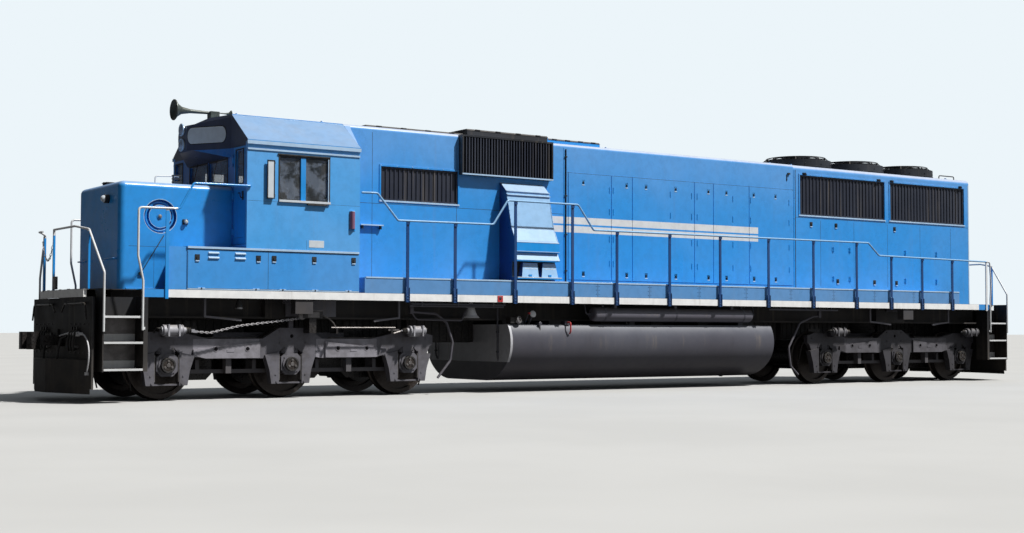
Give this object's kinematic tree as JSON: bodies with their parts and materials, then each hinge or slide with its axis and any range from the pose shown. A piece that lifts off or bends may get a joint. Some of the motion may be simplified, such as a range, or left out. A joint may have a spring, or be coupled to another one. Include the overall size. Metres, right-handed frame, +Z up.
{
  "type": "six-axle diesel road locomotive",
  "caption": "Diesel road locomotive: low nose, full-width cab, long hood with side grilles and roof fans, side walkways with handrails, underslung fuel tank, on swivelling three-axle trucks.",
  "frame": {"origin": "on the floor below the middle of the locomotive, at the lowest points of the wheel flanges", "axes": "+X forward towards the low nose, +Y to the left, +Z up"},
  "size_m": [21.692, 3.126, 4.7229],
  "materials": {
    "body_blue": "gloss paint, sky blue",
    "chassis_black": "matt black paint, dusty",
    "truck_grey": "cast steel, dark grey paint and dust",
    "wheel_steel": "rolled steel, worn tread",
    "grille_black": "black paint",
    "window_glass": "tinted safety glass",
    "seat_grey": "pale grey upholstery",
    "cab_inside": "pale green-grey paint",
    "bell_metal": "dull cast metal",
    "horn_metal": "weathered dark paint",
    "lamp_glass": "clear lamp lens",
    "rail_paint": "gloss paint, blue and white",
    "engine_grey": "painted cast iron"
  },
  "bodies": {
    "locomotive": {"underframe": "chassis_black", "sand_pipes": "chassis_black", "fuel_tank": "chassis_black", "air_reservoirs": "chassis_black", "side_cabinets": "body_blue", "nose": "body_blue", "cab_floor": "cab_inside", "cab_left_wall": "body_blue", "cab_right_wall": "body_blue", "cab_front_wall": "body_blue", "cab_rear_wall": "body_blue", "cab_roof": "body_blue", "cab_glass": "window_glass", "cab_seats": "seat_grey", "control_stand": "cab_inside", "hood_front": "body_blue", "blower_duct": "body_blue", "engine_hood": "body_blue", "radiator_hood": "body_blue", "hood_grilles": "grille_black", "roof_hatches": "grille_black", "fan_housings": "grille_black", "engine_block": "engine_grey", "side_handrails": "rail_paint", "end_handrails": "rail_paint", "hand_brake": "rail_paint", "bell": "bell_metal", "horn": "horn_metal", "headlamps": "lamp_glass", "pilot_front": "chassis_black", "pilot_rear": "chassis_black"},
    "front_truck": {"truck_front": "truck_grey", "motors_front": "truck_grey", "brakes_front": "truck_grey"},
    "front_coupler": {"coupler_front": "truck_grey"},
    "front_axle_1": {"wheelset_front_1": "wheel_steel"},
    "front_axle_2": {"wheelset_front_2": "wheel_steel"},
    "front_axle_3": {"wheelset_front_3": "wheel_steel"},
    "rear_truck": {"truck_rear": "truck_grey", "motors_rear": "truck_grey", "brakes_rear": "truck_grey"},
    "rear_coupler": {"coupler_rear": "truck_grey"},
    "rear_axle_1": {"wheelset_rear_1": "wheel_steel"},
    "rear_axle_2": {"wheelset_rear_2": "wheel_steel"},
    "rear_axle_3": {"wheelset_rear_3": "wheel_steel"},
    "front_door": {"front_door": "body_blue", "front_door_glass": "window_glass"},
    "rear_door": {"rear_door": "body_blue", "rear_door_glass": "window_glass"},
    "roof_fan_1": {"fan_1": "grille_black"},
    "roof_fan_2": {"fan_2": "grille_black"},
    "roof_fan_3": {"fan_3": "grille_black"}
  },
  "joints": [
    {"name": "front_truck_swivel", "type": "hinge", "parent": "locomotive", "child": "front_truck", "pos_m": [6.947, 0, 1.125], "axis": [0, 0, 1], "range_deg": [-7, 7]},
    {"name": "front_coupler_swing", "type": "hinge", "parent": "locomotive", "child": "front_coupler", "pos_m": [10, 0, 0.901], "axis": [0, 0, 1], "range_deg": [-7, 7]},
    {"name": "front_axle_1_spin", "type": "hinge", "parent": "front_truck", "child": "front_axle_1", "pos_m": [9.02, 0, 0.533], "axis": [0, 1, 0], "continuous": true},
    {"name": "front_axle_2_spin", "type": "hinge", "parent": "front_truck", "child": "front_axle_2", "pos_m": [6.998, 0, 0.533], "axis": [0, 1, 0], "continuous": true},
    {"name": "front_axle_3_spin", "type": "hinge", "parent": "front_truck", "child": "front_axle_3", "pos_m": [4.874, 0, 0.533], "axis": [0, 1, 0], "continuous": true},
    {"name": "rear_truck_swivel", "type": "hinge", "parent": "locomotive", "child": "rear_truck", "pos_m": [-6.947, 0, 1.125], "axis": [0, 0, 1], "range_deg": [-7, 7]},
    {"name": "rear_coupler_swing", "type": "hinge", "parent": "locomotive", "child": "rear_coupler", "pos_m": [-10, 0, 0.901], "axis": [0, 0, 1], "range_deg": [-7, 7]},
    {"name": "rear_axle_1_spin", "type": "hinge", "parent": "rear_truck", "child": "rear_axle_1", "pos_m": [-9.02, 0, 0.533], "axis": [0, 1, 0], "continuous": true},
    {"name": "rear_axle_2_spin", "type": "hinge", "parent": "rear_truck", "child": "rear_axle_2", "pos_m": [-6.998, 0, 0.533], "axis": [0, 1, 0], "continuous": true},
    {"name": "rear_axle_3_spin", "type": "hinge", "parent": "rear_truck", "child": "rear_axle_3", "pos_m": [-4.874, 0, 0.533], "axis": [0, 1, 0], "continuous": true},
    {"name": "front_door_hinge", "type": "hinge", "parent": "locomotive", "child": "front_door", "pos_m": [7.9403, 0.988, 3.1], "axis": [0, 0, -1], "range_deg": [0, 85]},
    {"name": "rear_door_hinge", "type": "hinge", "parent": "locomotive", "child": "rear_door", "pos_m": [5.9757, -0.988, 3.1], "axis": [0, 0, -1], "range_deg": [0, 85]},
    {"name": "roof_fan_1_spin", "type": "hinge", "parent": "locomotive", "child": "roof_fan_1", "pos_m": [-5.2, 0, 4.5], "axis": [0, 0, 1], "continuous": true},
    {"name": "roof_fan_2_spin", "type": "hinge", "parent": "locomotive", "child": "roof_fan_2", "pos_m": [-6.8, 0, 4.5], "axis": [0, 0, 1], "continuous": true},
    {"name": "roof_fan_3_spin", "type": "hinge", "parent": "locomotive", "child": "roof_fan_3", "pos_m": [-8.4, 0, 4.5], "axis": [0, 0, 1], "continuous": true}
  ]
}
